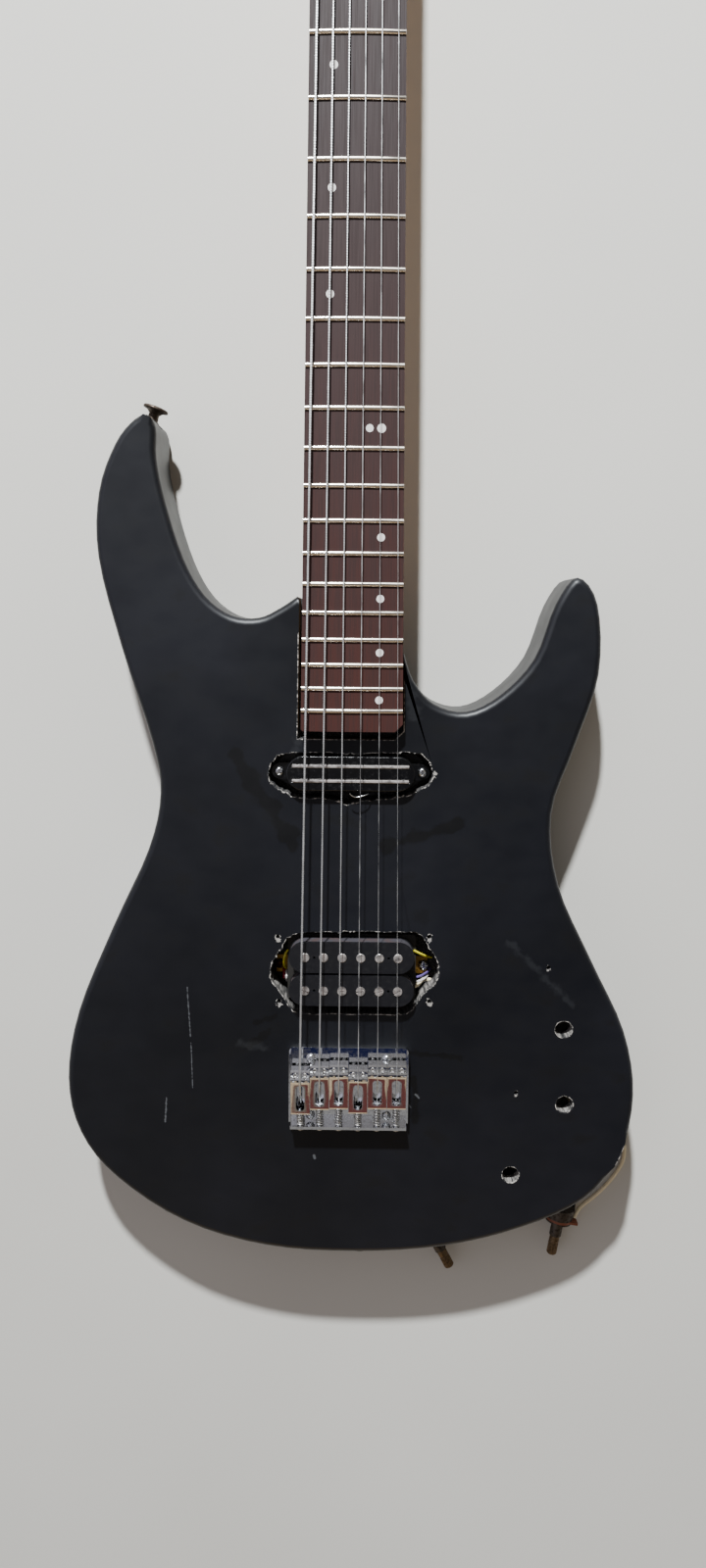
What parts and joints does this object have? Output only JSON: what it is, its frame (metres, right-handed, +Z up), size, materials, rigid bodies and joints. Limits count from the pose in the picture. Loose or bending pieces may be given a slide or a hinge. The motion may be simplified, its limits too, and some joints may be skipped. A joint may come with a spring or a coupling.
{
  "type": "broken electric guitar",
  "caption": "Worn black solid-body electric guitar with a bolt-on neck, missing its knobs, jack and pickup ring, with loose pots on leads.",
  "frame": {"origin": "on the flat back, on the centre line, under the end of the scale", "axes": "+X to the treble side, +Y along the strings to the head, +Z up out of the front"},
  "size_m": [0.3221, 0.9787, 0.0585],
  "materials": {
    "black_lacquer": "satin lacquer on wood, worn",
    "maple": "satin",
    "rosewood": "open-pored",
    "fret_metal": "polished",
    "pearloid": "gloss",
    "bone": "satin",
    "steel": "plain",
    "rusty_steel": "rusted",
    "black_metal": "black plated",
    "black_plastic": "moulded",
    "chrome": "mirror",
    "brass": "tarnished",
    "coil_tape": "woven tape",
    "magnet": "cast",
    "string_nickel": "wound",
    "string_steel": "drawn",
    "aged_nickel": "tarnished",
    "pot_steel": "dull",
    "phenolic": "pressed",
    "cream_pvc": "satin",
    "black_pvc": "satin",
    "yellow_pvc": "satin",
    "white_pvc": "satin",
    "red_pvc": "satin",
    "purple_pvc": "satin"
  },
  "bodies": {
    "root": {"body": "black_lacquer", "neck": "maple", "fretboard": "rosewood", "frets": "fret_metal", "inlay_dots": "pearloid", "nut": "bone", "truss_rod": "steel", "neck_ferrules": "black_metal", "neck_screws": "black_metal", "neck_pickup_base": "black_plastic", "neck_pickup_cover": "black_plastic", "neck_pickup_blades": "steel", "neck_pickup_screws": "steel", "humbucker_baseplate": "brass", "humbucker_bobbins": "black_plastic", "pickup_coils": "coil_tape", "pickup_magnets": "magnet", "pole_keeper": "steel", "pole_slugs": "steel", "pole_screws": "steel", "humbucker_screw_bass": "rusty_steel", "humbucker_screw_treble": "steel", "bridge_plate": "chrome", "bridge_screws": "chrome", "saddles": "chrome", "saddle_height_screws": "steel", "intonation_screws": "chrome", "intonation_springs": "steel", "wound_strings": "string_nickel", "plain_strings": "string_steel", "string_ferrules": "chrome", "strap_button_horn": "aged_nickel", "strap_button_tail": "aged_nickel", "strap_screws": "rusty_steel", "tuner_housings": "black_metal", "tuner_bushings": "black_metal", "tuner_screws": "black_metal", "pot_housings": "pot_steel", "pot_wafers": "phenolic", "wiring_inner": "cream_pvc", "lead_cream": "cream_pvc", "lead_black": "black_pvc", "lead_yellow": "yellow_pvc", "lead_white": "white_pvc", "lead_red": "red_pvc", "lead_purple": "purple_pvc"},
    "tuner_post_1": {"tuner_post_1": "steel"},
    "tuner_post_2": {"tuner_post_2": "steel"},
    "tuner_post_3": {"tuner_post_3": "steel"},
    "tuner_post_4": {"tuner_post_4": "steel"},
    "tuner_post_5": {"tuner_post_5": "steel"},
    "tuner_post_6": {"tuner_post_6": "steel"},
    "tuner_button_1": {"tuner_button_1": "black_metal"},
    "tuner_button_2": {"tuner_button_2": "black_metal"},
    "tuner_button_3": {"tuner_button_3": "black_metal"},
    "tuner_button_4": {"tuner_button_4": "black_metal"},
    "tuner_button_5": {"tuner_button_5": "black_metal"},
    "tuner_button_6": {"tuner_button_6": "black_metal"},
    "pot_shaft_1": {"pot_shaft_1": "brass"},
    "pot_shaft_2": {"pot_shaft_2": "brass"}
  },
  "joints": [
    {"name": "tuner_button_turn_1", "type": "hinge", "parent": "root", "child": "tuner_button_1", "pos_m": [-0.02209, 0.67724, 0.024], "axis": [-0.9659, 0.2588, 0], "continuous": true},
    {"name": "tuner_post_turn_1", "type": "hinge", "parent": "root", "child": "tuner_post_1", "pos_m": [-0.02027, 0.684, 0.044], "axis": [0, 0, 1], "continuous": true},
    {"name": "tuner_button_turn_2", "type": "hinge", "parent": "root", "child": "tuner_button_2", "pos_m": [-0.01495, 0.70224, 0.024], "axis": [-0.9659, 0.2588, 0], "continuous": true},
    {"name": "tuner_post_turn_2", "type": "hinge", "parent": "root", "child": "tuner_post_2", "pos_m": [-0.01314, 0.709, 0.044], "axis": [0, 0, 1], "continuous": true},
    {"name": "tuner_button_turn_3", "type": "hinge", "parent": "root", "child": "tuner_button_3", "pos_m": [-0.00809, 0.72724, 0.024], "axis": [-0.9659, 0.2588, 0], "continuous": true},
    {"name": "tuner_post_turn_3", "type": "hinge", "parent": "root", "child": "tuner_post_3", "pos_m": [-0.00627, 0.734, 0.044], "axis": [0, 0, 1], "continuous": true},
    {"name": "tuner_button_turn_4", "type": "hinge", "parent": "root", "child": "tuner_button_4", "pos_m": [-0.0015, 0.75224, 0.024], "axis": [-0.9659, 0.2588, 0], "continuous": true},
    {"name": "tuner_post_turn_4", "type": "hinge", "parent": "root", "child": "tuner_post_4", "pos_m": [0.00031, 0.759, 0.044], "axis": [0, 0, 1], "continuous": true},
    {"name": "tuner_button_turn_5", "type": "hinge", "parent": "root", "child": "tuner_button_5", "pos_m": [0.00475, 0.77724, 0.024], "axis": [-0.9659, 0.2588, 0], "continuous": true},
    {"name": "tuner_post_turn_5", "type": "hinge", "parent": "root", "child": "tuner_post_5", "pos_m": [0.00656, 0.784, 0.044], "axis": [0, 0, 1], "continuous": true},
    {"name": "tuner_button_turn_6", "type": "hinge", "parent": "root", "child": "tuner_button_6", "pos_m": [0.01072, 0.80224, 0.024], "axis": [-0.9659, 0.2588, 0], "continuous": true},
    {"name": "tuner_post_turn_6", "type": "hinge", "parent": "root", "child": "tuner_post_6", "pos_m": [0.01253, 0.809, 0.044], "axis": [0, 0, 1], "continuous": true},
    {"name": "pot_shaft_turn_1", "type": "hinge", "parent": "root", "child": "pot_shaft_1", "pos_m": [0.0515, -0.1263, 0.008], "axis": [0.4633, -0.8862, 0], "range_deg": [-150, 150]},
    {"name": "pot_shaft_turn_2", "type": "hinge", "parent": "root", "child": "pot_shaft_2", "pos_m": [0.1257, -0.1148, 0.008], "axis": [-0.1564, -0.9877, 0], "range_deg": [-150, 150]}
  ],
  "couplings": [
    {"joint": "tuner_post_turn_1", "follows": "tuner_button_turn_1", "ratio": 0.066667},
    {"joint": "tuner_post_turn_2", "follows": "tuner_button_turn_2", "ratio": 0.066667},
    {"joint": "tuner_post_turn_3", "follows": "tuner_button_turn_3", "ratio": 0.066667},
    {"joint": "tuner_post_turn_4", "follows": "tuner_button_turn_4", "ratio": 0.066667},
    {"joint": "tuner_post_turn_5", "follows": "tuner_button_turn_5", "ratio": 0.066667},
    {"joint": "tuner_post_turn_6", "follows": "tuner_button_turn_6", "ratio": 0.066667}
  ]
}
